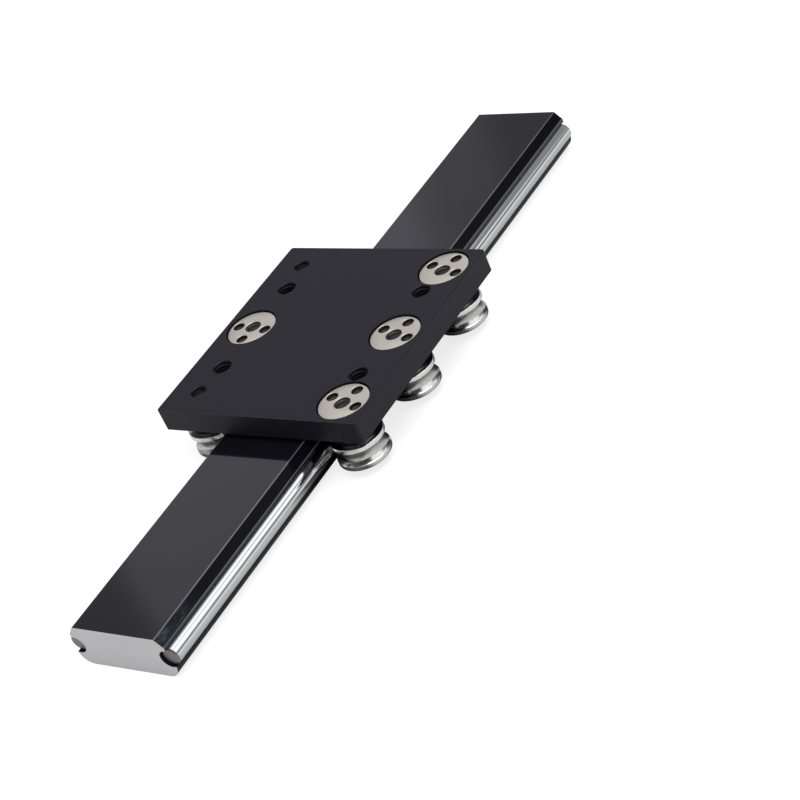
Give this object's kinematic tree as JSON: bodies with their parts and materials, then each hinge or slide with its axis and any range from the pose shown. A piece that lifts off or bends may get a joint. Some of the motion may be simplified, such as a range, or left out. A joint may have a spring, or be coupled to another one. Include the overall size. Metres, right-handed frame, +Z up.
{
  "type": "roller linear guide rail",
  "caption": "Dual-shaft roller linear guide: a flat carriage plate on grooved rollers, some on eccentric adjusters, runs along steel shafts pressed into an aluminium rail.",
  "frame": {"origin": "middle of the rail's underside, which is the middle of the whole guide's underside", "axes": "+X along the rail, +Z up out of the carriage plate; -Y is the side with three adjusters"},
  "size_m": [0.2528, 0.076, 0.0228],
  "materials": {
    "rail_black": "black anodised, satin, bare at the ends",
    "plate_black": "black anodised, matt",
    "shaft_steel": "hardened and polished",
    "ring_steel": "ground bearing steel",
    "cage_steel": "pressed steel",
    "collar_steel": "turned",
    "bolt_steel": "dark oiled",
    "adjuster_nickel": "nickel plated, satin"
  },
  "bodies": {
    "rail": {"rail_extrusion": "rail_black", "shaft_left": "shaft_steel", "shaft_right": "shaft_steel"},
    "carriage": {"carriage_plate": "plate_black", "inner_ring_left_front": "ring_steel", "spacer_collar_left_front": "collar_steel", "roller_bolt_left_front": "bolt_steel", "inner_ring_left_back": "ring_steel", "spacer_collar_left_back": "collar_steel", "roller_bolt_left_back": "bolt_steel"},
    "adjuster_right_front": {"adjuster_right_front": "adjuster_nickel", "inner_ring_right_front": "ring_steel", "spacer_collar_right_front": "collar_steel", "roller_bolt_right_front": "bolt_steel"},
    "roller_right_front": {"outer_ring_right_front": "ring_steel"},
    "cage_right_front": {"ball_cage_right_front": "cage_steel"},
    "adjuster_right_middle": {"adjuster_right_middle": "adjuster_nickel", "inner_ring_right_middle": "ring_steel", "spacer_collar_right_middle": "collar_steel", "roller_bolt_right_middle": "bolt_steel"},
    "roller_right_middle": {"outer_ring_right_middle": "ring_steel"},
    "cage_right_middle": {"ball_cage_right_middle": "cage_steel"},
    "adjuster_right_back": {"adjuster_right_back": "adjuster_nickel", "inner_ring_right_back": "ring_steel", "spacer_collar_right_back": "collar_steel", "roller_bolt_right_back": "bolt_steel"},
    "roller_right_back": {"outer_ring_right_back": "ring_steel"},
    "cage_right_back": {"ball_cage_right_back": "cage_steel"},
    "roller_left_front": {"outer_ring_left_front": "ring_steel"},
    "cage_left_front": {"ball_cage_left_front": "cage_steel"},
    "adjuster_left_middle": {"adjuster_left_middle": "adjuster_nickel", "inner_ring_left_middle": "ring_steel", "spacer_collar_left_middle": "collar_steel", "roller_bolt_left_middle": "bolt_steel"},
    "roller_left_middle": {"outer_ring_left_middle": "ring_steel"},
    "cage_left_middle": {"ball_cage_left_middle": "cage_steel"},
    "roller_left_back": {"outer_ring_left_back": "ring_steel"},
    "cage_left_back": {"ball_cage_left_back": "cage_steel"}
  },
  "joints": [
    {"name": "carriage_slide", "type": "slide", "parent": "rail", "child": "carriage", "axis": [1, 0, 0], "range_m": [-0.0815, 0.0886]},
    {"name": "adjuster_right_front_turn", "type": "hinge", "parent": "carriage", "child": "adjuster_right_front", "pos_m": [-0.03516, -0.02797, 0.0224], "axis": [0, 0, 1], "range_deg": [0, 216]},
    {"name": "roller_right_front_spin", "type": "hinge", "parent": "adjuster_right_front", "child": "roller_right_front", "pos_m": [-0.03583, -0.02775, 0.0071], "axis": [0, 0, 1], "continuous": true},
    {"name": "cage_right_front_spin", "type": "hinge", "parent": "adjuster_right_front", "child": "cage_right_front", "pos_m": [-0.03583, -0.02775, 0.0071], "axis": [0, 0, 1], "continuous": true},
    {"name": "adjuster_right_middle_turn", "type": "hinge", "parent": "carriage", "child": "adjuster_right_middle", "pos_m": [-0.00356, -0.02797, 0.0224], "axis": [0, 0, 1], "range_deg": [0, 216]},
    {"name": "roller_right_middle_spin", "type": "hinge", "parent": "adjuster_right_middle", "child": "roller_right_middle", "pos_m": [-0.00423, -0.02775, 0.0071], "axis": [0, 0, 1], "continuous": true},
    {"name": "cage_right_middle_spin", "type": "hinge", "parent": "adjuster_right_middle", "child": "cage_right_middle", "pos_m": [-0.00423, -0.02775, 0.0071], "axis": [0, 0, 1], "continuous": true},
    {"name": "adjuster_right_back_turn", "type": "hinge", "parent": "carriage", "child": "adjuster_right_back", "pos_m": [0.02804, -0.02797, 0.0224], "axis": [0, 0, 1], "range_deg": [0, 216]},
    {"name": "roller_right_back_spin", "type": "hinge", "parent": "adjuster_right_back", "child": "roller_right_back", "pos_m": [0.02737, -0.02775, 0.0071], "axis": [0, 0, 1], "continuous": true},
    {"name": "cage_right_back_spin", "type": "hinge", "parent": "adjuster_right_back", "child": "cage_right_back", "pos_m": [0.02737, -0.02775, 0.0071], "axis": [0, 0, 1], "continuous": true},
    {"name": "roller_left_front_spin", "type": "hinge", "parent": "carriage", "child": "roller_left_front", "pos_m": [-0.03516, 0.02775, 0.0071], "axis": [0, 0, 1], "continuous": true},
    {"name": "cage_left_front_spin", "type": "hinge", "parent": "carriage", "child": "cage_left_front", "pos_m": [-0.03516, 0.02775, 0.0071], "axis": [0, 0, 1], "continuous": true},
    {"name": "adjuster_left_middle_turn", "type": "hinge", "parent": "carriage", "child": "adjuster_left_middle", "pos_m": [-0.00356, 0.0278, 0.0224], "axis": [0, 0, 1], "range_deg": [0, 188]},
    {"name": "roller_left_middle_spin", "type": "hinge", "parent": "adjuster_left_middle", "child": "roller_left_middle", "pos_m": [-0.00286, 0.02775, 0.0071], "axis": [0, 0, 1], "continuous": true},
    {"name": "cage_left_middle_spin", "type": "hinge", "parent": "adjuster_left_middle", "child": "cage_left_middle", "pos_m": [-0.00286, 0.02775, 0.0071], "axis": [0, 0, 1], "continuous": true},
    {"name": "roller_left_back_spin", "type": "hinge", "parent": "carriage", "child": "roller_left_back", "pos_m": [0.02804, 0.02775, 0.0071], "axis": [0, 0, 1], "continuous": true},
    {"name": "cage_left_back_spin", "type": "hinge", "parent": "carriage", "child": "cage_left_back", "pos_m": [0.02804, 0.02775, 0.0071], "axis": [0, 0, 1], "continuous": true}
  ],
  "couplings": [
    {"joint": "roller_right_front_spin", "follows": "carriage_slide", "rad_per_m": 121.92},
    {"joint": "cage_right_front_spin", "follows": "carriage_slide", "rad_per_m": 73.154},
    {"joint": "roller_right_middle_spin", "follows": "carriage_slide", "rad_per_m": 121.92},
    {"joint": "cage_right_middle_spin", "follows": "carriage_slide", "rad_per_m": 73.154},
    {"joint": "roller_right_back_spin", "follows": "carriage_slide", "rad_per_m": 121.92},
    {"joint": "cage_right_back_spin", "follows": "carriage_slide", "rad_per_m": 73.154},
    {"joint": "roller_left_front_spin", "follows": "carriage_slide", "rad_per_m": -121.92},
    {"joint": "cage_left_front_spin", "follows": "carriage_slide", "rad_per_m": -73.154},
    {"joint": "roller_left_middle_spin", "follows": "carriage_slide", "rad_per_m": -121.92},
    {"joint": "cage_left_middle_spin", "follows": "carriage_slide", "rad_per_m": -73.154},
    {"joint": "roller_left_back_spin", "follows": "carriage_slide", "rad_per_m": -121.92},
    {"joint": "cage_left_back_spin", "follows": "carriage_slide", "rad_per_m": -73.154}
  ]
}
